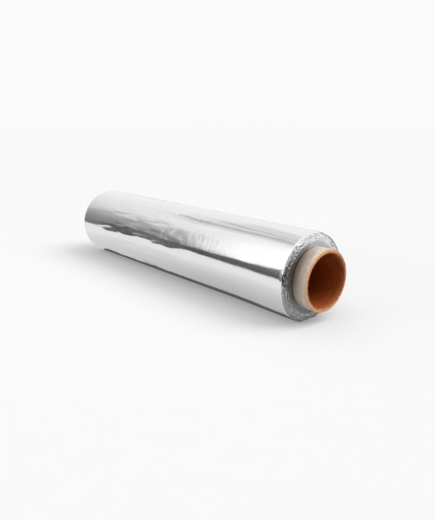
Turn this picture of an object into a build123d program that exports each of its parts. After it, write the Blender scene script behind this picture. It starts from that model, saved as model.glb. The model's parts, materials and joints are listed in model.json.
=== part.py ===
from build123d import *
import os

# Catering roll of aluminium foil: one long sheet wound on a paperboard core that stands out at both ends.
# Millimetres. The roll lies on its side along X with +Z up, and the origin is on the table under its middle.

# Driving dimensions
foil_width = 300.0  # width of the sheet, and so the length of the winding
core_bore = 43.0  # inside the paperboard core
core_wall = 3.0  # plies of the core, glued into one tube
winding_depth = 10.45  # how deep the sheet is wound on the core, which makes the full roll 70 mm across
core_overhang = 13.5  # how far the core stands out past the outermost turn at each end
core_edge_break = 0.4  # bevel that the cutting knife leaves on the core's edges
winding_clearance = 0.05  # between the core and the first turn
flat_depth = 1.2  # how far the soft winding is pressed flat where it lies on the table
lap_step = 0.5  # how far the free edge of the sheet stands off the turn under it
lap_angle = -25.0  # where the free edge lies, in degrees up from +Y about the roll's axis
turns_drawn = 6  # turns that each end shows, each standing for many real ones
gap_width = 0.35  # gap between two drawn turns
gap_depth = 0.8  # how far that gap goes in from the edges of the sheet
telescope = 1.5  # how far the turns on the core have slipped along it, past the outermost turn
edge_ease = 1.0  # how far the outermost turns draw back at the winding's two edges

# Sizes that follow
core_radius = core_bore / 2 + core_wall
core_length = foil_width + 2 * core_overhang
winding_bore_radius = core_radius + winding_clearance
roll_radius = winding_bore_radius + winding_depth
turn_pitch = winding_depth / turns_drawn
axis_height = roll_radius - flat_depth
cutter_margin = winding_depth  # how far a cutting shape reaches past what it cuts
cutter_length = foil_width + 2 * (telescope + cutter_margin)

# The roll's axis, the plane across it with local X pointing at the free edge, and the plane along it
roll_axis = Axis((0, 0, axis_height), (1, 0, 0))
free_edge_direction = Vector(0, 1, 0).rotate(Axis.X, lap_angle)
across_roll = Plane(origin=(0, 0, axis_height), x_dir=free_edge_direction, z_dir=(-1, 0, 0))
along_roll = Plane(origin=(0, 0, axis_height), x_dir=(1, 0, 0), z_dir=(0, -1, 0))


def spiral(start_radius, half_turns, pitch):
    """Half circles that open out from local X, about two centres half a pitch apart, each one meeting the next."""
    arcs = []
    for index in range(half_turns):
        side = index % 2
        centre = (pitch * (side - 0.5) / 2, 0)
        radius = start_radius + pitch * (index + 0.5) / 2
        arcs.append(CenterArc(centre, radius, 180 * side, 180))
    return arcs


def sheet_section(inset):
    """Lengthwise section of the turns: each is the sheet's width, less the inset, and slipped along the core."""
    half_width = foil_width / 2 - inset
    inner_radius = winding_bore_radius - cutter_margin
    inner_slip = telescope * (winding_depth + cutter_margin) / winding_depth
    eased_radius = roll_radius - edge_ease
    outer_radius = roll_radius + cutter_margin
    drawn_back = half_width - (outer_radius - eased_radius)
    with BuildSketch(along_roll) as section:
        with BuildLine():
            Polyline(
                (inner_slip - half_width, inner_radius),
                (inner_slip + half_width, inner_radius),
                (half_width, eased_radius),
                (drawn_back, outer_radius),
                (-drawn_back, outer_radius),
                (-half_width, eased_radius),
                close=True,
            )
        make_face()
    return section.sketch


# Paperboard core: a tube cut square at both ends
with BuildPart() as cardboard_core:
    with BuildSketch(across_roll):
        Circle(core_radius)
        Circle(core_bore / 2, mode=Mode.SUBTRACT)
    extrude(amount=core_length / 2, both=True)
    chamfer(cardboard_core.edges().filter_by(GeomType.CIRCLE), core_edge_break)

# Gaps between the turns: one spiral strip, left only where it goes into the winding's two ends
with BuildPart() as turn_gaps:
    with BuildSketch(across_roll):
        with BuildLine():
            half_turns = 2 * (turns_drawn - 1)
            gap_start = winding_bore_radius + (turn_pitch - gap_width) / 2
            inner_wall = spiral(gap_start, half_turns, turn_pitch)
            outer_wall = spiral(gap_start + gap_width, half_turns, turn_pitch)
            Line(inner_wall[0] @ 0, outer_wall[0] @ 0)
            Line(inner_wall[-1] @ 1, outer_wall[-1] @ 1)
        make_face()
    extrude(amount=cutter_length / 2, both=True)
    revolve(sheet_section(gap_depth), axis=roll_axis, mode=Mode.SUBTRACT)

# Foil winding: the whole sheet as one solid, pressed flat underneath, its last turn ending in a free edge
with BuildPart() as foil_winding:
    with BuildSketch(across_roll):
        with BuildLine():
            last_turn = spiral(roll_radius - lap_step / 2, 2, lap_step)
            Line(last_turn[-1] @ 1, last_turn[0] @ 0)
        make_face()
        Circle(winding_bore_radius, mode=Mode.SUBTRACT)
    extrude(amount=cutter_length / 2, both=True)
    revolve(sheet_section(0), axis=roll_axis, mode=Mode.INTERSECT)
    add(turn_gaps.part, mode=Mode.SUBTRACT)
    split(bisect_by=Plane.XY, keep=Keep.TOP)

os.makedirs("parts", exist_ok=True)
cardboard_core.part.label = "cardboard_core"
export_step(cardboard_core.part, "parts/cardboard_core.step")
foil_winding.part.label = "foil_winding"
export_step(foil_winding.part, "parts/foil_winding.step")
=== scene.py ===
"""Roll of aluminium foil on its paperboard core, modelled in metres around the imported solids."""

import json
import math
from typing import NamedTuple

import bmesh
import bpy
from bpy.props import FloatProperty, FloatVectorProperty, IntProperty, PointerProperty
from mathutils import Matrix, Vector, noise


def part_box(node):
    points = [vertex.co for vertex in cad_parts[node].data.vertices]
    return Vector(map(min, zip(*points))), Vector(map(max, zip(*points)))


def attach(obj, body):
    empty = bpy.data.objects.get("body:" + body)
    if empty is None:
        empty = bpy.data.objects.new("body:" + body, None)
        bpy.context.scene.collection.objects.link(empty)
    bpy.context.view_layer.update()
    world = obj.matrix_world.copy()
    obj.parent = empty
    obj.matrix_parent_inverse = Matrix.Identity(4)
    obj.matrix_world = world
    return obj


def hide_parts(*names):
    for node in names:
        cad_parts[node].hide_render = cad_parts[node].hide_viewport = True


bl_info = {
    "name": "Foil Roll",
    "version": (1, 0, 0),
    "blender": (4, 5, 0),
    "location": "View3D > Sidebar > Foil Roll",
    "description": "Models a roll of aluminium foil and its paperboard core",
    "category": "Add Mesh",
}

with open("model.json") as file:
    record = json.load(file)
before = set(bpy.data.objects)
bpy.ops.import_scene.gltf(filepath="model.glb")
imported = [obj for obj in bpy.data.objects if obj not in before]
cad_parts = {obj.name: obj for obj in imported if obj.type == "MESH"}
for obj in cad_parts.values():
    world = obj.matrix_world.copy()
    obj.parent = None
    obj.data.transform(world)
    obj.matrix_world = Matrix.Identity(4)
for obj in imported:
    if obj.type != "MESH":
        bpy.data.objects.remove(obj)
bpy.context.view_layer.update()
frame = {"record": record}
BODY = "root"
WINDING_NODE = "foil_winding"
CORE_NODE = "cardboard_core"
MM = 0.001
FULL_TURN = 2 * math.pi
HALF_TURN = math.pi

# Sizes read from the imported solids
WINDING_LOW, WINDING_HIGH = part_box(WINDING_NODE)
CORE_LOW, CORE_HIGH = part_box(CORE_NODE)
MOUNTS = {mount["name"]: mount for mount in frame["record"]["mounts"]}
AXIS_HEIGHT = MOUNTS["core_bore"]["pos_m"][2]
BORE_RADIUS = MOUNTS["core_bore"]["dims"]["r_mm"] * MM
CORE_RADIUS = (CORE_HIGH.y - CORE_LOW.y) / 2
ROLL_RADIUS = (WINDING_HIGH.y - WINDING_LOW.y) / 2
AXIS = Vector((0, 0, AXIS_HEIGHT))

# Tolerances of the meshes
SAME_PLACE = 0.01 * MM  # lengths closer than this are the same
SAME_ANGLE = 0.00001  # and so are angles closer than this, in radians
MERGE_DISTANCE = 0.001 * MM  # vertices closer than this are merged
TINY_EDGE = 0.0001 * MM  # edges shorter than this are dissolved


def length(name, description, default):
    """A size in metres, shown with Blender's units."""
    return FloatProperty(name=name, description=description, default=default, unit="LENGTH", precision=5)


def angle(name, description, default):
    """An angle given in degrees and kept in radians."""
    return FloatProperty(
        name=name, description=description, default=math.radians(default), subtype="ANGLE"
    )


def share(name, description, default):
    """A number from 0 to 1."""
    return FloatProperty(
        name=name, description=description, default=default, min=0, max=1, subtype="FACTOR"
    )


def count(name, description, default):
    """A whole number."""
    return IntProperty(name=name, description=description, default=default, min=2)


def colour(name, description, default):
    """A linear RGB colour."""
    return FloatVectorProperty(
        name=name, description=description, default=default, size=3, min=0, max=1, subtype="COLOR"
    )


class WindingSettings(bpy.types.PropertyGroup):
    """Sizes and colours of the wound sheet of foil"""

    clearance: length("Clearance", "Gap between the core and the first turn", 0.05 * MM)
    turns: count("Turns", "Turns that each end shows", 20)
    rings_per_turn: count("Rings", "Mesh rings for each turn", 3)
    steps: count("Steps", "Mesh steps around the roll", 240)
    stations: count("Stations", "Mesh steps along the roll", 242)
    end_stations: count("End stations", "Finer mesh steps along the skin at each end", 14)
    end_zone: length("End zone", "How far in from its edges the outer turn is crumpled", 5 * MM)
    lap_angle: angle("Free edge", "Where the free edge lies, up from +Y", -25)
    telescope: length("Telescope", "How far the turns on the core slip past the outermost", 1.5 * MM)
    edge_ease: length("Edge ease", "How far the outermost turns draw back at the ends", 0.9 * MM)
    edge_round: length("Edge round", "How far the outer turn draws in at its two edges", 0.35 * MM)
    turn_relief: length("Turn relief", "Depth of the line between two turns", 0.035 * MM)
    turn_wander: length("Turn wander", "How far single turns stray along the core", 0.07 * MM)
    crumple: length("Crumple", "Height of the crumpled turn edges", 0.30 * MM)
    wave: length("Wave", "Height of the slow waves in the outer turn", 0.20 * MM)
    buckle: length("Buckle", "Height of the buckles that run along the loose far half", 0.32 * MM)
    crease: length("Crease", "Height of the short creases that run around the middle", 0.055 * MM)
    slack: length("Slack", "How far the loose outer turns bag out low at the front", 1.1 * MM)
    foil_colour: colour("Foil", "Bright side of the foil", (0.905, 0.91, 0.915))
    edge_colour: colour("Turn edges", "Cut edges of the turns", (0.72, 0.725, 0.73))
    gloss_roughness: share("Roughness", "Roughness of the bright side", 0.11)


class CoreSettings(bpy.types.PropertyGroup):
    """Sizes and colours of the paperboard core"""

    steps: count("Steps", "Mesh steps around the core", 192)
    outer_break: length("Outer break", "Bevel of the outer edges, over which the white ply turns", 0.8 * MM)
    inner_break: length("Inner break", "Bevel of the inner edges", 0.4 * MM)
    plies: count("Plies", "Plies that the cut edge shows", 6)
    ply_relief: length("Ply relief", "How far plies stand out at the cut edge", 0.08 * MM)
    cut_wander: length("Cut wander", "How far the knife strayed", 0.12 * MM)
    seam_pitch: length("Seam pitch", "How far a seam of the wound paper goes along in a turn", 120 * MM)
    # Painted shade on the core next to the foil's end, where the foil shades it: how far out it reaches
    painted_shade_reach: length("Painted shade reach", "How far out from its end the foil has rubbed the core", 14 * MM)
    white_colour: colour("Outer ply", "White paper of the outer ply", (0.83, 0.713, 0.605))
    cut_colour: colour("Cut edge", "Bare board of the cut edge", (0.88, 0.49, 0.25))
    brown_colour: colour("Inside", "Brown board inside the core", (0.46, 0.105, 0.021))
    # colour of that painted shade, warm as shaded paper
    painted_shade_colour: colour("Painted shade", "Mark that the foil has rubbed on the core", (0.21, 0.135, 0.10))


class StageSettings(bpy.types.PropertyGroup):
    """Camera, floor and lights"""

    azimuth: angle("Azimuth", "Camera's bearing, from looking along +Y", 48.87)
    elevation: angle("Elevation", "Camera's height above the level", 15.34)
    distance: length("Distance", "Camera to the point it looks at", 0.5214)
    aim: FloatVectorProperty(
        name="Aim", description="Point in the middle of the picture", size=3, subtype="XYZ_LENGTH",
        default=(0.0202, 0.0165, 0.0179),
    )
    focal_length: FloatProperty(
        name="Focal length", description="Lens, for a 36 mm sensor", default=37.23, unit="CAMERA"
    )
    floor_colour: colour("Floor", "Plain pale floor", (0.615, 0.615, 0.615))
    floor_glow: share("Floor glow", "How bright the floor is from the light under it", 0.27)
    bounce: share("Bounce", "How much of its light the floor throws back up", 0.84)
    backdrop: share("Backdrop", "Brightness of the backdrop behind the roll", 0.955)
    horizon: share("Horizon", "Brightness of the studio's walls at their foot", 0.19)
    ceiling: share("Ceiling", "Brightness of the studio overhead", 0.93)
    overhead: FloatProperty(name="Overhead", description="Strength of the overhead light", default=1.08)
    key_energy: FloatProperty(name="Key light", description="Strength of the key light", default=1.6)
    fill_energy: FloatProperty(name="Fill light", description="Strength of the fill light", default=0.75)


class Socket:
    """An output of a node tree on which arithmetic adds Math nodes."""

    def __init__(self, tree, output):
        self.tree = tree
        self.output = output

    def math(self, operation, *others):
        values = dict(enumerate((self, *others)))
        return self.tree.node("ShaderNodeMath", {"operation": operation}, values)

    def __add__(self, other):
        return self.math("ADD", other)

    def __radd__(self, other):
        return self.math("ADD", other)

    def __sub__(self, other):
        return self.math("SUBTRACT", other)

    def __rsub__(self, other):
        return self.tree.node("ShaderNodeMath", {"operation": "SUBTRACT"}, {0: other, 1: self})

    def __mul__(self, other):
        return self.math("MULTIPLY", other)

    def __rmul__(self, other):
        return self.math("MULTIPLY", other)

    def hypot(self, other):
        """Distance that these two numbers make at a right angle."""
        return (self * self + other * other).math("SQRT")

    def smooth_step(self, low, high):
        """0 below low, 1 above high, and a smooth rise between them."""
        settings = {"interpolation_type": "SMOOTHSTEP"}
        return self.tree.node("ShaderNodeMapRange", settings, {0: self, 1: low, 2: high})


class NodeTree:
    """The nodes of a material or of the world, added from one method."""

    def __init__(self, owner):
        owner.use_nodes = True
        self.owner = owner
        self.tree = owner.node_tree
        self.tree.nodes.clear()

    def node(self, kind, settings=None, sockets=None, output=0):
        """Adds a node with its settings, fills its sockets by name or number, and gives one output."""
        made = self.tree.nodes.new(kind)
        for key, value in (settings or {}).items():
            setattr(made, key, value)
        for key, value in (sockets or {}).items():
            self.fill(made.inputs[key], value)
        return Socket(self, made.outputs[output]) if made.outputs else None

    def fill(self, socket, value):
        """Links a socket, or sets it to a number, a vector or a colour."""
        if isinstance(value, Socket):
            self.tree.links.new(value.output, socket)
        elif socket.type == "RGBA":
            socket.default_value = (*value, 1)
        else:
            socket.default_value = value

    def object_point(self):
        """Object coordinates moved so that X runs along the roll's axis."""
        here = self.node("ShaderNodeTexCoord", output="Object")
        return self.node("ShaderNodeVectorMath", {"operation": "SUBTRACT"}, {0: here, 1: AXIS})

    def noise(self, point, along, across, detail, roughness=0.5):
        """Noise whose cells have these lengths along X and across it."""
        per_metre = Vector((1 / along, 1 / across, 1 / across))
        scaled = self.node("ShaderNodeVectorMath", {"operation": "MULTIPLY"}, {0: point, 1: per_metre})
        sockets = {"Vector": scaled, "Scale": 1.0, "Detail": detail, "Roughness": roughness}
        return self.node("ShaderNodeTexNoise", None, sockets)

    def line_noise(self, value, cell, detail):
        """Noise along one number, in cells of this length."""
        sockets = {"W": value * (1 / cell), "Scale": 1.0, "Detail": detail}
        return self.node("ShaderNodeTexNoise", {"noise_dimensions": "1D"}, sockets)

    def split(self, vector):
        """The three numbers of a vector."""
        node = self.node("ShaderNodeSeparateXYZ", None, {0: vector}).output.node
        return [Socket(self, output) for output in node.outputs]

    def dot(self, vector, other):
        """How far one vector reaches along another."""
        sockets = {0: vector, 1: other}
        return self.node("ShaderNodeVectorMath", {"operation": "DOT_PRODUCT"}, sockets, output="Value")

    def mix_colours(self, factor, first, second):
        """A colour between two others. Names of this node's sockets repeat, so they go by number."""
        sockets = {0: factor, 6: first, 7: second}
        return self.node("ShaderNodeMix", {"data_type": "RGBA"}, sockets, output=2)

    def grey(self, level):
        """A grey of a brightness that varies."""
        return self.node("ShaderNodeCombineColor", None, {0: level, 1: level, 2: level})

    def bump(self, height, depth, under=None):
        """A surface normal from a height, over another bump where one is given."""
        sockets = {"Height": height, "Distance": depth}
        if under:
            sockets["Normal"] = under
        return self.node("ShaderNodeBump", None, sockets)

    def light_path(self, output):
        """One of the facts about the ray that meets the surface."""
        return self.node("ShaderNodeLightPath", output=output)

    def bounced(self):
        """1 where a matt surface sees this, and 0 where it is seen directly or in a mirror."""
        return self.light_path("Diffuse Depth").math("MINIMUM", 1.0)

    def surface(self, sockets):
        """Ends the tree in a Principled surface."""
        shader = self.node("ShaderNodeBsdfPrincipled", None, sockets)
        self.node("ShaderNodeOutputMaterial", None, {"Surface": shader})


def new_material(name):
    """The empty node tree of a new material, which is the tree's owner."""
    return NodeTree(bpy.data.materials.new(name))


def darker(tint, part):
    """A part of a colour's brightness."""
    return tuple(channel * part for channel in tint)


def between(low, high, part):
    """What lies part of the way from low to high, for numbers and for sockets."""
    return low + (high - low) * part


def smooth_step(low, high, value):
    """0 below low, 1 above high, and a smooth rise between them."""
    place = min(max((value - low) / (high - low), 0), 1)
    return place * place * (3 - 2 * place)


def smooth_minimum(first, second, blend):
    """The smaller of two lengths, eased where they are closer than the blend."""
    lean = min(max(0.5 + (second - first) / (2 * blend), 0), 1)
    return second + (first - second) * lean - blend * lean * (1 - lean)


def bell(value, middle, half_width):
    """1 at the middle, falling smoothly to 0 at half a width to each side."""
    return 1 - smooth_step(0, half_width, abs(value - middle))


def polar(point):
    """Distance from the roll's axis, and the angle up from +Y around it."""
    return math.hypot(point.y, point.z - AXIS_HEIGHT), math.atan2(point.z - AXIS_HEIGHT, point.y)


def from_polar(x, radius, bearing):
    """The point at a place along X, a distance from the roll's axis and an angle up from +Y."""
    return Vector((x, radius * math.cos(bearing), AXIS_HEIGHT + radius * math.sin(bearing)))


def spin_loop(loop, pieces, bearing, steps, merge):
    """Spins a lengthwise loop once around the roll's axis, and gives the mesh and the loop's last copy.

    Corners of the loop are places along X with radii. The side that leads to each is cut into pieces.
    """
    mesh = bmesh.new()
    corners = [mesh.verts.new(from_polar(x, radius, bearing)) for x, radius in loop]
    sides = [mesh.edges.new((corners[index - 1], corners[index])) for index in range(len(corners))]
    for side, parts in zip(sides, pieces):
        bmesh.ops.subdivide_edges(mesh, edges=[side], cuts=parts - 1)
    spun = bmesh.ops.spin(
        mesh, geom=mesh.verts[:] + mesh.edges[:], cent=AXIS, axis=(-1, 0, 0),
        angle=FULL_TURN, steps=steps, use_merge=merge,
    )
    return mesh, spun["geom_last"]


def add_mesh(name, mesh_data, materials):
    """Makes an object from a bmesh."""
    mesh = bpy.data.meshes.new(name)
    mesh_data.to_mesh(mesh)
    mesh_data.free()
    for material in materials:
        mesh.materials.append(material)
    item = bpy.data.objects.new(name, mesh)
    bpy.context.scene.collection.objects.link(item)
    return item


def add_piece(name, mesh_data, materials, node):
    """Makes a piece from a bmesh and lets it stand for a node of the frame."""
    piece = add_mesh(name, mesh_data, materials)
    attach(piece, BODY)
    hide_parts(node)


# Foil winding

SKIN, EDGES = range(2)  # places of the winding's materials in its list
HAZED = 0.97  # brightness of hazed foil, as a share of clear foil's
LINED_FOIL = (-70 * MM, 60 * MM)  # where along X the drawn lines start to fade, and where they are faint
FAINT_LINES = 0.25  # how strong they are there
TIGHT_DEPTH = 2.6 * MM  # how deep the tight turns lie on the core
LOOSE_DEPTH = 5.2 * MM  # depth from which on the turns are loose
TIGHT_PAINTED_SHADE = 0.15  # how much of their brightness the edges of the tight turns keep under painted shade, which stands in for the shaded core that they mirror
TIGHT_FLECKS = 0.12  # and how much of the flecks
DULL_EDGE = 0.34  # brightness of the dullest edges, as a share of the brightest's
FLECKS_PER_RADIAN = 13  # cells of the flecks, counted around the axis
FLECK_LENGTH = 0.9 * MM  # length of such a cell across the turns


def bright_foil(settings):
    """Rolled foil, mirror bright: fine rolling lines around it, drawn lines along it, uneven haze."""
    tree = new_material("bright_foil")
    point = tree.object_point()
    haze = tree.noise(point, along=33 * MM, across=17 * MM, detail=4.0)
    rolling = tree.noise(point, along=0.4 * MM, across=38 * MM, detail=3.0)
    scuff = tree.noise(point, along=1.3 * MM, across=8 * MM, detail=4.0, roughness=0.62)
    drawn = tree.noise(point, along=24 * MM, across=1.3 * MM, detail=3.0)
    place, _, _ = tree.split(point)
    drawn = drawn * between(1, FAINT_LINES, place.smooth_step(*LINED_FOIL))
    lines = tree.bump(drawn, depth=0.05 * MM, under=tree.bump(rolling, depth=0.004 * MM))
    hazed = darker(settings.foil_colour, HAZED)
    uneven = (haze - 0.5) * 0.10 + (rolling - 0.5) * 0.05
    tree.surface(
        {
            "Base Color": tree.mix_colours(haze, hazed, settings.foil_colour),
            "Metallic": 1.0,
            "Roughness": settings.gloss_roughness + uneven,
            "Normal": tree.bump(scuff, depth=0.05 * MM, under=lines),
        }
    )
    return tree.owner


def turn_edges(settings):
    """Cut edges of thousands of turns: fine lines around the axis, dull patches, painted shade on the tight
    turns by the core, flecks where loose.
    """
    tree = new_material("turn_edges")
    point = tree.object_point()
    _, across, up = tree.split(point)
    radius = across.hypot(up)
    layers = tree.line_noise(radius, cell=0.11 * MM, detail=2.0)
    patches = tree.noise(point, along=5 * MM, across=3.8 * MM, detail=4.0)
    cells = [side.math("DIVIDE", radius) * FLECKS_PER_RADIAN for side in (across, up)]
    cells.append(radius * (1 / FLECK_LENGTH))
    wound = tree.node("ShaderNodeCombineXYZ", None, dict(enumerate(cells)))
    flecks = tree.noise(wound, along=1, across=1, detail=1.0, roughness=0.4)
    loose = radius.smooth_step(CORE_RADIUS + TIGHT_DEPTH, CORE_RADIUS + LOOSE_DEPTH)
    # Painted shade: the tight turns by the core are darkened, standing in for the shaded core that they
    # mirror; the dull patches are the edges' own
    shine_and_painted_shade = (layers * 0.6 + patches * 0.5).smooth_step(0.2, 0.9) * between(TIGHT_PAINTED_SHADE, 1, loose)
    flecks = flecks * between(TIGHT_FLECKS, 1, loose)
    dull = darker(settings.edge_colour, DULL_EDGE)
    lines = tree.bump(layers, depth=0.005 * MM)
    tree.surface(
        {
            "Base Color": tree.mix_colours(shine_and_painted_shade, dull, settings.edge_colour),
            "Metallic": 1.0,
            "Roughness": between(0.05, 0.14, patches),
            "Normal": tree.bump(flecks, depth=0.62 * MM, under=lines),
        }
    )
    return tree.owner


class Ripple(NamedTuple):
    """Unevenness of one size in the outer turn: smooth noise in cells of these lengths"""

    part: float  # how much of the full height it has
    along: float  # length of a cell along the roll
    around: float  # and around it
    seed: float  # moves it to another place in the noise

    def height(self, place, around):
        """Its height at a place along X, in a direction around the axis."""
        spread = ROLL_RADIUS / self.around
        here = Vector((place / self.along + self.seed, around.y * spread, around.z * spread))
        return self.part * noise.noise(here)


WAVES = (
    Ripple(part=1.0, along=85 * MM, around=18 * MM, seed=0.0),
    Ripple(part=0.5, along=34 * MM, around=10 * MM, seed=7.3),
)
BUCKLES = (
    Ripple(part=1.0, along=26 * MM, around=4.6 * MM, seed=3.1),
    Ripple(part=0.5, along=12 * MM, around=2.4 * MM, seed=9.4),
)
CREASES = (
    Ripple(part=0.6, along=2.0 * MM, around=7 * MM, seed=5.7),
    Ripple(part=1.0, along=4.7 * MM, around=8 * MM, seed=2.6),
)
SKIN_CRUMPLES = (Ripple(part=0.5, along=1.5 * MM, around=2.6 * MM, seed=1.9),)
BUCKLED = (-40 * MM, 100 * MM)  # middle and half length of the stretch that has buckled
CREASED = (15 * MM, 85 * MM)  # and of the stretch that is creased
CALM = 0.12  # how much of the buckles and creases is left elsewhere

# The bag of the loose outer turns, low at the front
BAG_SIDE = Vector((0, -0.62, -0.78))  # the side that it is on
BAG_SPREAD = (0.70, 0.98)  # cosine of the angle from that side where it starts, and where it is full
BAG_STRETCH = (60 * MM, 150 * MM)  # where it starts along X, and where it is full


class Fold(NamedTuple):
    """A pinched fold that runs along the loose outer turn: a valley beside a crest"""

    start: float  # where it starts and stops along X
    stop: float
    bearing: float  # angle up from +Y at its middle
    lean: float  # how far that angle changes from its start to its stop
    width: float
    rise: float  # crest and valley are 0.43 of this high and deep


FOLDS = (
    Fold(
        start=-120 * MM, stop=-30 * MM, bearing=math.radians(173), lean=math.radians(-9),
        width=3.0 * MM, rise=0.38 * MM,
    ),
    Fold(
        start=-30 * MM, stop=30 * MM, bearing=math.radians(173), lean=math.radians(-6.5),
        width=2.4 * MM, rise=0.26 * MM,
    ),
)
FOLD_RISEN = 0.35  # share of a fold's length where it is full
FOLD_FADING = 0.8  # share of its length where it starts to fade


def ripple_relief(ripples, place, around):
    """Height of several ripples together."""
    return sum(ripple.height(place, around) for ripple in ripples)


def fold_relief(place, around):
    """How far the pinched folds lift or sink the outer turn."""
    bearing = math.atan2(around.z, around.y) % FULL_TURN
    relief = 0
    for fold in FOLDS:
        along = (place - fold.start) / (fold.stop - fold.start)
        fade = smooth_step(0, FOLD_RISEN, along) * (1 - smooth_step(FOLD_FADING, 1, along))
        offset = ROLL_RADIUS * (bearing - fold.bearing - fold.lean * (along - 0.5)) / fold.width
        relief += fold.rise * fade * offset * math.exp(-offset * offset)
    return relief


def skin_relief(settings, place, around):
    """How far the outer turn stands off a true spiral: waves, buckles, creases, slack and folds."""
    buckled = between(CALM, 1, bell(place, *BUCKLED))
    creased = between(CALM, 1, bell(place, *CREASED))
    bag = smooth_step(*BAG_SPREAD, around.dot(BAG_SIDE)) * smooth_step(*BAG_STRETCH, place)
    from_edge = min(place - WINDING_LOW.x, WINDING_HIGH.x - settings.telescope - place)
    drawn_in = 1 - smooth_step(0, settings.end_zone, from_edge)
    relief = settings.wave * ripple_relief(WAVES, place, around)
    relief += settings.buckle * buckled * ripple_relief(BUCKLES, place, around)
    relief += settings.crease * creased * ripple_relief(CREASES, place, around)
    relief += settings.crumple * drawn_in ** 2 * ripple_relief(SKIN_CRUMPLES, place, around)
    relief += settings.slack * bag + fold_relief(place, around)
    return relief - settings.edge_round * drawn_in ** 4


class Spiral(NamedTuple):
    """Radii of the wound sheet, worked out from its settings"""

    inner: float
    pitch: float
    outer_ring: int

    def radius(self, ring, turned):
        """Radius of a ring of the mesh after it has opened out into the spiral."""
        return max(self.inner, self.inner + self.pitch * (ring - 1 + turned / FULL_TURN))

    def level(self, radius):
        """Place between the core, at 0, and the middle of the outermost turn, at 1."""
        return (radius - self.inner) / (self.pitch * (self.outer_ring - 0.5))


class Crumple(NamedTuple):
    """Crumpling of one size in the edges of the turns: smooth noise in cells"""

    part: float  # how much of the full height it has
    per_radian: float  # cells counted around the axis
    across: float  # length of a cell across the turns
    seed: float  # moves it to another place in the noise

    def height(self, radius, around):
        """Its height at a distance from the axis, in a direction around it."""
        here = (around.y * self.per_radian, around.z * self.per_radian, radius / self.across + self.seed)
        return self.part * noise.noise(Vector(here))


CRUMPLES = (
    Crumple(part=1.0, per_radian=5.5, across=1.25 * MM, seed=0),
    Crumple(part=0.4, per_radian=11, across=0.65 * MM, seed=5),
)
ROUGH_LEVELS = (0.30, 0.50)  # levels where the turn edges start to be rough, and where they are
CALM_CRUMPLE = 0.08  # how much of the crumpling the tight turns have
CALM_GROOVE = 0.4  # how much of the depth their lines have
FLAT_LEVEL = 0.04  # level under which the first turns lie flat
GROOVE_SLOPE = 0.26  # share of a turn's thickness that slopes down to the line on each side
RING_MARGIN = 0.01  # so that a ring on the line between two turns counts to the outer one
WANDER_STEP = 2.3  # how far apart two turns lie in the noise that they stray by
WANDER_SEED = (11.7, 0.4)  # and where in it
EASE_REACH = 2.2  # how deep the outermost turns draw back, as a multiple of how far
TABLE_BLEND = 1 / 3  # length over which the skin bends on to the table, as a share of its slack


def end_relief(settings, spiral, ring, turned, wound, around):
    """How far a turn's edge stands out of its end: lines between turns, straying, crumpling, easing."""
    level = spiral.level(wound)
    rough = smooth_step(*ROUGH_LEVELS, level)
    phase = ring % 1
    groove = 1 - smooth_step(0, GROOVE_SLOPE, min(phase, 1 - phase))
    turn = math.floor(ring + RING_MARGIN) + turned / FULL_TURN
    wander = noise.noise(Vector((turn * WANDER_STEP, *WANDER_SEED)))
    crumple = sum(size.height(wound, around) for size in CRUMPLES)
    ease_start = 1 - EASE_REACH * settings.edge_ease / (spiral.pitch * spiral.outer_ring)
    ease = smooth_step(ease_start, 1, level) ** 2
    relief = settings.turn_wander * wander
    relief -= settings.turn_relief * groove * between(CALM_GROOVE, 1, rough)
    relief += settings.crumple * crumple * between(CALM_CRUMPLE, 1, rough)
    return relief * smooth_step(0, FLAT_LEVEL, level) - settings.edge_ease * ease


def creased_point(settings, spiral, x, ring, turned, end):
    """Where a point of the plain spun loop goes once the sheet is wound, slipped, slack and creased."""
    bearing = settings.lap_angle - turned
    around = Vector((0, math.cos(bearing), math.sin(bearing)))
    wound = spiral.radius(ring, turned)
    skin = spiral.radius(spiral.outer_ring, turned)
    depth = min((wound - spiral.inner) / (spiral.pitch * (spiral.outer_ring - 1)), 1)
    loose = skin + skin_relief(settings, x, around)
    if around.z < 0:
        table = AXIS_HEIGHT / -around.z
        loose = smooth_minimum(loose, table, settings.slack * TABLE_BLEND)
    if end:
        x += settings.telescope * (1 - min(spiral.level(wound), 1))
        x += end * end_relief(settings, spiral, ring, turned, wound, around)
    return from_polar(x, wound + depth * (loose - skin), bearing)


def close_seam(mesh, free_edge):
    """Closes the step at the free edge, joins each turn to the next and fills what is left open."""
    step_edges = [edge for edge in mesh.edges if edge.is_boundary and free_edge.issuperset(edge.verts)]
    bmesh.ops.bridge_loops(mesh, edges=step_edges)
    bmesh.ops.remove_doubles(mesh, verts=mesh.verts[:], dist=MERGE_DISTANCE)
    bmesh.ops.holes_fill(mesh, edges=[edge for edge in mesh.edges if edge.is_boundary], sides=0)
    bmesh.ops.dissolve_degenerate(mesh, edges=mesh.edges[:], dist=TINY_EDGE)
    bmesh.ops.recalc_face_normals(mesh, faces=mesh.faces[:])


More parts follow.
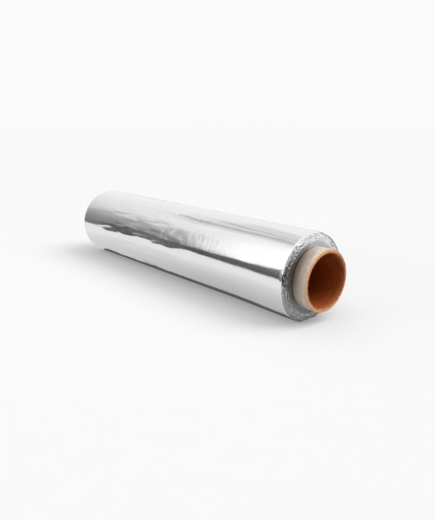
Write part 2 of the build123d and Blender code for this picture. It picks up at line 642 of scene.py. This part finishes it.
def winding_mesh(settings):
    """The whole sheet: a lengthwise loop spun around the axis, opened out into a spiral and creased."""
    inner = CORE_RADIUS + settings.clearance
    pitch = (ROLL_RADIUS - inner) / (settings.turns + 0.5)
    spiral = Spiral(inner, pitch, outer_ring=settings.turns + 1)
    outer = inner + spiral.outer_ring * pitch
    far_end = WINDING_LOW.x
    near_end = WINDING_HIGH.x - settings.telescope

    skin_ends = (near_end, near_end - settings.end_zone, far_end + settings.end_zone, far_end)
    loop = [(near_end, inner), *((x, outer) for x in skin_ends), (far_end, inner)]
    rings = spiral.outer_ring * settings.rings_per_turn
    pieces = (1, rings, settings.end_stations, settings.stations, settings.end_stations, rings)
    # The last copy isn't merged with the first, because it goes a turn further out
    mesh, last_copy = spin_loop(loop, pieces, settings.lap_angle, settings.steps, merge=False)
    last_loop = {item for item in last_copy if isinstance(item, bmesh.types.BMVert)}

    skin, free_edge = set(), set()
    for vert in mesh.verts:
        x = vert.co.x
        radius, bearing = polar(vert.co)
        turned = (settings.lap_angle - bearing + SAME_ANGLE) % FULL_TURN - SAME_ANGLE
        if vert in last_loop:
            turned = FULL_TURN
        if radius > outer - SAME_PLACE:
            skin.add(vert)
            if vert in last_loop or turned < SAME_ANGLE:
                free_edge.add(vert)
        end = (x > near_end - SAME_PLACE) - (x < far_end + SAME_PLACE)
        ring = (radius - inner) / pitch
        vert.co = creased_point(settings, spiral, x, ring, turned, end)

    for face in mesh.faces:
        face.smooth = True
        face.material_index = SKIN if skin.issuperset(face.verts) else EDGES
    for edge in mesh.edges:
        if len({face.material_index for face in edge.link_faces}) == 2:
            edge.smooth = False
    close_seam(mesh, free_edge)
    return mesh


class FOILROLL_OT_add_winding(bpy.types.Operator):
    """Add the wound sheet of foil"""

    bl_idname = "foil_roll.add_winding"
    bl_label = "Foil Winding"

    def execute(self, context):
        settings = context.scene.foil_roll_winding
        materials = [bright_foil(settings), turn_edges(settings)]
        add_piece("foil_sheet", winding_mesh(settings), materials, WINDING_NODE)
        return {"FINISHED"}


# Paperboard core

WHITE, CUT, BROWN = range(3)  # places of the core's materials in its list
CUT_FACING = 0.3  # faces whose normal goes along X by more than this are cut edge
SHARP_ANGLE = math.radians(30)  # edges that bend more than this look sharp
STRAY_PER_RADIAN = 3  # cells of the noise that the knife strayed by, counted around the axis
STRAY_END = 4  # how far from the middle each end lies in that noise
STRAY_RING = 0.2  # and one ring from the next
SEAM_STEP = 0.02  # share of a turn over which the overlap at the seam rises
SEAM_FADE = 0.12  # and where it has faded
SEAM_SHADE = 0.6  # how dark the seam is
PAINTED_SHADE_START = 2.5 * MM  # how far out from the foil the painted shade starts to fade
PAINTED_SHADE_RAGGED = 3 * MM  # how ragged it ends
PAINTED_SHADE_FRONT = (-18 * MM, 4 * MM)  # across the core, where the painted shade is full at the front, and where it ends
PAINTED_SHADE_HEIGHT = (-17 * MM, 6 * MM)  # up from the axis, where it starts to get darker, and where it is full
PAINTED_SHADE_LOW = 0.1  # how dark it is lower down
BROWNER_ACROSS = (4 * MM, 24 * MM)  # across the core, where the cut edge starts to be browner, and where it is


class Board(NamedTuple):
    """Finish of one side of the core"""

    tint: tuple
    shade: float  # how dark the mottling goes
    seam: float  # where the seam of the wound strip starts, as a share of a turn
    seam_depth: float
    lip: float  # how far in from the ends the side takes on the cut edge's colour
    lip_blend: float  # how much of that colour it takes on there: the outer ply wears through to the bare board, the inside is lighter towards the ends
    shaded: float  # how dark the painted shade next to the foil's end makes it


def board_material(name, board, settings):
    """Paper or board: mottled, taking on the cut edge's colour at the ends, with painted shade next to the
    foil's end and the seam of its wound strip.
    """
    tree = new_material(name)
    point = tree.object_point()
    along, across, up = tree.split(point)
    fibres = tree.noise(point, along=1.6 * MM, across=1.9 * MM, detail=5.0, roughness=0.6)
    mottle = tree.noise(point, along=3.5 * MM, across=16 * MM, detail=4.0)
    light = (fibres * 1.3 + mottle * 0.9).smooth_step(0.75, 1.45)
    paper = tree.mix_colours(light, darker(board.tint, board.shade), board.tint)
    from_middle = along.math("ABSOLUTE")
    lip = from_middle.smooth_step(CORE_HIGH.x - board.lip, CORE_HIGH.x)
    paper = tree.mix_colours(lip * board.lip_blend, paper, settings.cut_colour)
    # Painted shade: warm and darker next to the foil's end, at the front and higher up, where the foil
    # shades the core
    if board.shaded:
        from_foil = from_middle + mottle * PAINTED_SHADE_RAGGED - WINDING_HIGH.x
        near_foil = 1 - from_foil.smooth_step(PAINTED_SHADE_START, settings.painted_shade_reach)
        front = 1 - across.smooth_step(*PAINTED_SHADE_FRONT)
        upper = between(PAINTED_SHADE_LOW, 1, up.smooth_step(*PAINTED_SHADE_HEIGHT))
        paper = tree.mix_colours(near_foil * front * upper * board.shaded, paper, settings.painted_shade_colour)
    turned = up.math("ARCTAN2", across) * (1 / FULL_TURN)
    wound = (along * (1 / settings.seam_pitch) + turned - board.seam).math("FRACT")
    overlap = wound.smooth_step(0.0, SEAM_STEP) * (1 - wound.smooth_step(SEAM_STEP, SEAM_FADE))
    seam = overlap * board.seam_depth
    tree.surface(
        {
            "Base Color": tree.mix_colours(seam, paper, darker(board.tint, SEAM_SHADE)),
            "Roughness": between(0.66, 0.86, fibres),
            "Specular IOR Level": 0.25,
            "Normal": tree.bump(fibres * 0.5 + seam, depth=0.06 * MM),
        }
    )
    return tree.owner


def cut_board(settings):
    """The cut edge: ply inside ply, browner towards the bore and to one side, and mottled."""
    tree = new_material("cut_board")
    point = tree.object_point()
    _, across, up = tree.split(point)
    radius = across.hypot(up)
    plies = tree.line_noise(radius, cell=0.4 * MM, detail=1.0)
    mottle = tree.noise(point, along=4 * MM, across=2.3 * MM, detail=5.0, roughness=0.6)
    outward = radius.smooth_step(BORE_RADIUS - 0.5 * MM, CORE_RADIUS)
    # the cut edge gets browner across the core, towards +Y
    browner_side = across.smooth_step(*BROWNER_ACROSS)
    light = (plies * 0.5 + mottle * 1.3 + outward * 0.5 - browner_side * 0.3).smooth_step(0.70, 1.30)
    tree.surface(
        {
            "Base Color": tree.mix_colours(light, settings.brown_colour, settings.cut_colour),
            "Roughness": between(0.75, 0.95, mottle),
            "Specular IOR Level": 0.2,
            "Normal": tree.bump(plies + mottle, depth=0.06 * MM),
        }
    )
    return tree.owner


def core_mesh(settings):
    """The tube: its lengthwise loop spun around the axis, then bevelled and set ply by ply at its ends."""
    rings = 2 * settings.plies
    ring_step = (CORE_RADIUS - BORE_RADIUS) / rings
    loop = [(CORE_HIGH.x, BORE_RADIUS), (CORE_HIGH.x, CORE_RADIUS)]
    loop += [(CORE_LOW.x, CORE_RADIUS), (CORE_LOW.x, BORE_RADIUS)]
    mesh, _ = spin_loop(loop, (1, rings, 1, rings), bearing=0, steps=settings.steps, merge=True)
    bmesh.ops.remove_doubles(mesh, verts=mesh.verts[:], dist=MERGE_DISTANCE)

    set_back = [settings.ply_relief * (ring % 2) for ring in range(rings + 1)]
    set_back[0] = settings.inner_break
    set_back[rings] = settings.outer_break
    for vert in mesh.verts:
        radius, bearing = polar(vert.co)
        end = math.copysign(1, vert.co.x)
        ring = round((radius - BORE_RADIUS) / ring_step)
        around = [STRAY_PER_RADIAN * part for part in (math.cos(bearing), math.sin(bearing))]
        stray = noise.noise(Vector((*around, STRAY_END * end + STRAY_RING * ring)))
        vert.co.x -= end * (set_back[ring] + settings.cut_wander * (0.5 + 0.5 * stray))
    bmesh.ops.recalc_face_normals(mesh, faces=mesh.faces[:])

    for face in mesh.faces:
        face.smooth = True
        face.material_index = WHITE
        middle = face.calc_center_median()
        radius, _ = polar(middle)
        if abs(face.normal.x) > CUT_FACING and radius < CORE_RADIUS - ring_step:
            face.material_index = CUT
        elif face.normal.dot(middle - AXIS) < 0:
            face.material_index = BROWN
    for edge in mesh.edges:
        edge.smooth = edge.calc_face_angle() < SHARP_ANGLE
    return mesh


class FOILROLL_OT_add_core(bpy.types.Operator):
    """Add the paperboard core"""

    bl_idname = "foil_roll.add_core"
    bl_label = "Paperboard Core"

    def execute(self, context):
        settings = context.scene.foil_roll_core
        outside = Board(
            tint=settings.white_colour, shade=0.72, seam=0.20, seam_depth=0.3,
            lip=1.6 * MM, lip_blend=0.4, shaded=0.85,
        )
        # Inside, the board is lighter towards the ends of the bore
        inside = Board(
            tint=settings.brown_colour, shade=0.70, seam=0.35, seam_depth=0.5,
            lip=5 * MM, lip_blend=0.3, shaded=0,
        )
        materials = [
            board_material("white_ply", outside, settings),
            cut_board(settings),
            board_material("brown_board", inside, settings),
        ]
        add_piece("core_tube", core_mesh(settings), materials, CORE_NODE)
        return {"FINISHED"}


# Stage: lengths in metres, bearings and heights of what stands far off in degrees

class Lamp(NamedTuple):
    """Bearing and height of a lamp, and how broad it looks from the roll"""

    azimuth: float
    elevation: float
    width: float


class FarCard(NamedTuple):
    """A flat card far from the roll, with the bearing and height of each corner"""

    distance: float
    brightness: float
    corners: tuple


class Card(NamedTuple):
    """A flat card, with the place of each corner"""

    brightness: float
    corners: list


class TableArc(NamedTuple):
    """A stretch of the table's end, from one bearing to another"""

    brightness: float
    height: float
    start: float
    stop: float


KEY_LIGHT = Lamp(azimuth=130, elevation=50, width=40)
FILL_LIGHT = Lamp(azimuth=-25, elevation=12, width=25)
FLOOR_REACH = 6.0  # how far the floor reaches to each side
CARD_DIMMING = 0.7  # how much less of a card's light the foil throws on to the floor and the core

# Cards in front of the roll that only the foil shows, with a dark flag nearer to it
FAR_CARDS = {
    "white_card": FarCard(3.0, 1.12, ((-47, 8), (-74, 52), (30, 60), (30, 8))),
    "front_card": FarCard(2.98, 0.60, ((-33, 30), (-33, 61), (31, 61), (31, 30))),
    "grey_card": FarCard(2.96, 0.74, ((-131, 31), (-124, 62), (-78, 62), (-86, 38), (-116, 38))),
    "front_streak": FarCard(2.3, 0.48, ((-102, 38), (-94, 62), (-87, 62), (-95, 38))),
    "back_streak": FarCard(2.3, 0.52, ((-116, 38), (-105, 62), (-101, 62), (-112, 38))),
}
FLAG_PLACE = -0.35  # the flag's place along Y
FLAG_OUTLINE = (  # along X and up
    (-0.38, 0.050), (-0.33, 0.080), (-0.158, 0.120), (-0.114, 0.137),
    (0.05, 0.14), (0.05, 0), (-0.20, 0), (-0.33, 0.030),
)
SIDE_FLAG = Card(0.08, [(x, FLAG_PLACE, z) for x, z in FLAG_OUTLINE])

# Cards beyond the near end, for the edges of its turns
END_FLAG_PLACE = 0.25  # the flag's place along X
END_FLAG_OUTLINE = (  # along Y and up
    (-0.25, 0), (-0.25, 0.06), (0, 0.058), (0.05, 0.047), (0.075, 0.03), (0.098, 0.018), (0.098, 0),
)
END_CARDS = {
    "end_flag_near": Card(0.05, [(END_FLAG_PLACE, y, z) for y, z in END_FLAG_OUTLINE]),
    "end_card_near": Card(
        1.5, [(0.36, 0.03, 0), (0.36, 0.03, 0.30), (0.17, 0.15, 0.30), (0.17, 0.15, 0)]
    ),
}

# The table as the foil shows it: where it ends, and the roll's shade on it
TABLE_END = 0.5  # distance of the table's end
TABLE_LIFT = 0.3 * MM  # how far the shaded table lies over the floor
TABLE_ENDS = {
    "table_corner": TableArc(brightness=0.19, height=0.045, start=-105, stop=-62),
    "table_side": TableArc(brightness=0.09, height=0.10, start=-62, stop=-56),
    "table_gap": TableArc(brightness=0.17, height=0.118, start=-56, stop=-49),
    "table_front": TableArc(brightness=0.09, height=0.10, start=-49, stop=23),
    "table_back": TableArc(brightness=0.09, height=0.10, start=152, stop=203),
}
SHADE_START, SHADE_STOP = -0.13, 0.165  # where the shade starts and stops along X
SHADE_EDGE = 0.023  # how far the dark strip under the roll reaches
SHADE_REACH = 0.10  # where the shade ends
STRIP_DARK, STRIP_LIT = 0.10, 0.50  # brightness of the strip, and of its near end
STRIP_END = (0.14, 0.165)  # where along X that near end starts to be lit, and where it is
SHADE_FAR, SHADE_NEAR = 0.64, 0.47  # brightness beside the strip, at the far and at the near half
SHADE_HALVES = (-0.15, 0.08)  # where along X the far half ends and the near half starts
OPEN_TABLE = 0.86  # brightness of the table past the shade

# The studio's walls
WALL_RISE = 1.15  # how fast they get brighter with height
LIT_FACING = (0.5, 0.9)  # cosine of the angle from the camera's bearing where a wall gets lit, and is
DIM_WALL = (-56, 18)  # bearing and height of a dimmer patch of wall
DIM_SHARE = 0.3  # how much dimmer it is
DIM_FACING = (0.955, 0.994)  # cosine of the angle from it at its rim, and where it is dimmest
OVERHEAD = (0.3, 0.9)  # sine of the height where the overhead light starts, and where it is full


def direction(azimuth, elevation):
    """Points back along a bearing, from looking along +Y, and up from the level, both in radians."""
    level = math.cos(elevation)
    return Vector((math.sin(azimuth) * level, -math.cos(azimuth) * level, math.sin(elevation)))


def direction_in_degrees(azimuth, elevation):
    """The same from angles in degrees."""
    return direction(math.radians(azimuth), math.radians(elevation))


def add_camera(settings):
    """The camera, at the photograph's viewing angle."""
    data = bpy.data.cameras.new("photo_camera")
    data.lens = settings.focal_length
    data.clip_start = 0.01
    camera = bpy.data.objects.new("photo_camera", data)
    back = direction(settings.azimuth, settings.elevation)
    place = Vector(settings.aim) + back * settings.distance
    camera.matrix_world = Matrix.Translation(place) @ back.to_track_quat("Z", "Y").to_matrix().to_4x4()
    bpy.context.scene.collection.objects.link(camera)
    bpy.context.scene.camera = camera


def add_floor(settings):
    """A plain pale floor that glows a little, as a light table does, and throws less light back up."""
    tree = new_material("pale_floor")
    point = tree.node("ShaderNodeTexCoord", output="Object")
    grain = tree.noise(point, along=17 * MM, across=17 * MM, detail=3.0)
    pale = tree.mix_colours(grain, darker(settings.floor_colour, 0.985), settings.floor_colour)
    thrown_back = darker(settings.floor_colour, settings.bounce)
    glow = (settings.floor_glow,) * 3
    tree.surface(
        {
            "Base Color": tree.mix_colours(tree.light_path("Is Diffuse Ray"), pale, thrown_back),
            "Roughness": 0.7,
            "Specular IOR Level": 0.0,
            "Emission Color": tree.mix_colours(tree.light_path("Is Camera Ray"), (0, 0, 0), glow),
            "Emission Strength": 1.0,
        }
    )
    tree.owner.cycles.emission_sampling = "NONE"
    mesh = bmesh.new()
    bmesh.ops.create_grid(mesh, x_segments=4, y_segments=4, size=FLOOR_REACH)
    add_mesh("floor", mesh, [tree.owner])


def add_card(tree, shade, mesh_data):
    """A card that only the foil shows, as studio flags and reflectors are kept out of view.

    The tree is that of the card's material, and its shade is a plain colour or comes from that tree.
    """
    strength = 1 - tree.bounced() * CARD_DIMMING
    glow = tree.node("ShaderNodeEmission", None, {"Color": shade, "Strength": strength})
    tree.node("ShaderNodeOutputMaterial", None, {"Surface": glow})
    tree.owner.cycles.emission_sampling = "NONE"
    card = add_mesh(tree.owner.name, mesh_data, [tree.owner])
    card.visible_camera = False
    card.visible_diffuse = False
    card.visible_shadow = False


def add_flat_card(name, card):
    """A flat card of one brightness."""
    mesh = bmesh.new()
    mesh.faces.new([mesh.verts.new(corner) for corner in card.corners])
    add_card(new_material(name), (card.brightness,) * 3, mesh)


def add_cards():
    """Flags and reflectors in front of the roll, the same behind it, and some beyond its near end."""
    front_cards = {"side_flag": SIDE_FLAG}
    for name, card in FAR_CARDS.items():
        places = [direction_in_degrees(*corner) * card.distance + AXIS for corner in card.corners]
        front_cards[name] = Card(card.brightness, places)
    for side, turn in (("front", 0), ("back", HALF_TURN)):
        rotation = Matrix.Rotation(turn, 3, "Z")
        for name, card in front_cards.items():
            places = [rotation @ Vector(corner) for corner in card.corners]
            add_flat_card(f"{name}_{side}", Card(card.brightness, places))
    for name, card in END_CARDS.items():
        add_flat_card(name, card)


def add_table_ends():
    """Upright strips around the end of the table."""
    for name, arc in TABLE_ENDS.items():
        mesh = bmesh.new()
        foot = direction_in_degrees(arc.start, 0) * TABLE_END
        ends = [mesh.verts.new(foot), mesh.verts.new(foot + Vector((0, 0, arc.height)))]
        edge = mesh.edges.new(ends)
        sweep = math.radians(arc.stop - arc.start)
        bmesh.ops.spin(mesh, geom=[*ends, edge], cent=(0, 0, 0), axis=(0, 0, 1), angle=sweep, steps=32)
        add_card(new_material(name), (arc.brightness,) * 3, mesh)


def table_shade(tree):
    """Brightness of the table: dark under the roll, and lighter with the distance from it."""
    along, across, _ = tree.split(tree.object_point())
    from_middle = (along - (SHADE_START + SHADE_STOP) / 2).math("ABSOLUTE")
    beyond = (from_middle - (SHADE_STOP - SHADE_START) / 2).math("MAXIMUM", 0.0)
    distance = beyond.hypot(across)
    fade = ((distance - SHADE_EDGE) * (1 / (SHADE_REACH - SHADE_EDGE))).math("MINIMUM", 1.0)
    beside = between(SHADE_FAR, SHADE_NEAR, along.smooth_step(*SHADE_HALVES))
    open_table = between(beside, OPEN_TABLE, fade)
    under = between(STRIP_DARK, STRIP_LIT, along.smooth_step(*STRIP_END))
    return tree.grey(between(under, open_table, distance.smooth_step(SHADE_EDGE - MM, SHADE_EDGE)))


def add_table():
    """The table top as the foil shows it, with the roll's own shade."""
    mesh = bmesh.new()
    bmesh.ops.create_circle(mesh, cap_ends=True, segments=64, radius=TABLE_END)
    bmesh.ops.translate(mesh, verts=mesh.verts[:], vec=(0, 0, TABLE_LIFT))
    tree = new_material("table_shade")
    add_card(tree, table_shade(tree), mesh)


def add_lamp(name, energy, lamp):
    """A broad soft lamp, so far away that its light falls the same way everywhere."""
    data = bpy.data.lights.new(name, "SUN")
    data.energy = energy
    data.angle = math.radians(lamp.width)
    item = bpy.data.objects.new(name, data)
    back = direction_in_degrees(lamp.azimuth, lamp.elevation)
    item.matrix_world = back.to_track_quat("Z", "Y").to_matrix().to_4x4()
    bpy.context.scene.collection.objects.link(item)


def add_world(settings):
    """A studio whose walls darken to their foot, apart from the ones before and behind the camera.

    Matt surfaces get only the light overhead, and the camera sees only the backdrop.
    """
    world = bpy.data.worlds.new("studio")
    world.cycles.sampling_method = "NONE"
    bpy.context.scene.world = world
    tree = NodeTree(world)
    toward = tree.node("ShaderNodeTexCoord", output="Generated")
    height = tree.split(toward)[2]
    walls = (settings.horizon + height * WALL_RISE).math("MINIMUM", settings.ceiling)
    walls = walls.math("MAXIMUM", settings.horizon)
    facing = tree.dot(toward, direction(settings.azimuth, 0)).math("ABSOLUTE")
    level = between(walls, settings.ceiling, facing.smooth_step(*LIT_FACING))
    patch = tree.dot(toward, direction_in_degrees(*DIM_WALL))
    level = level * (1 - DIM_SHARE * patch.smooth_step(*DIM_FACING))
    overhead = height.smooth_step(*OVERHEAD) * settings.overhead
    level = between(level, overhead, tree.bounced())
    studio = tree.node("ShaderNodeBackground", None, {"Color": tree.grey(level)})
    backdrop = tree.node("ShaderNodeBackground", None, {"Color": (settings.backdrop,) * 3})
    seen = tree.light_path("Is Camera Ray")
    mixed = tree.node("ShaderNodeMixShader", None, {0: seen, 1: studio, 2: backdrop})
    tree.node("ShaderNodeOutputWorld", None, {"Surface": mixed})


class FOILROLL_OT_add_stage(bpy.types.Operator):
    """Add the camera, the floor and the lights"""

    bl_idname = "foil_roll.add_stage"
    bl_label = "Stage"

    def execute(self, context):
        settings = context.scene.foil_roll_stage
        context.scene.view_settings.view_transform = "Standard"
        add_camera(settings)
        add_floor(settings)
        add_cards()
        add_table_ends()
        add_table()
        add_lamp("key_light", settings.key_energy, KEY_LIGHT)
        add_lamp("fill_light", settings.fill_energy, FILL_LIGHT)
        add_world(settings)
        return {"FINISHED"}


class FOILROLL_PT_panel(bpy.types.Panel):
    """Lists the roll's pieces and its stage"""

    bl_idname = "FOILROLL_PT_panel"
    bl_label = "Foil Roll"
    bl_space_type = "VIEW_3D"
    bl_region_type = "UI"
    bl_category = "Foil Roll"

    def draw(self, context):
        for operator in OPERATORS:
            self.layout.operator(operator.bl_idname)


OPERATORS = (FOILROLL_OT_add_core, FOILROLL_OT_add_winding, FOILROLL_OT_add_stage)
SETTINGS = {
    "foil_roll_winding": WindingSettings,
    "foil_roll_core": CoreSettings,
    "foil_roll_stage": StageSettings,
}
CLASSES = (*SETTINGS.values(), *OPERATORS, FOILROLL_PT_panel)


def register():
    for item in CLASSES:
        bpy.utils.register_class(item)
    for name, group in SETTINGS.items():
        setattr(bpy.types.Scene, name, PointerProperty(type=group))


def unregister():
    for name in SETTINGS:
        delattr(bpy.types.Scene, name)
    for item in reversed(CLASSES):
        bpy.utils.unregister_class(item)


def main():
    register()
    bpy.ops.foil_roll.add_core()
    bpy.ops.foil_roll.add_winding()
    bpy.ops.foil_roll.add_stage()


if __name__ == "__main__":
    main()
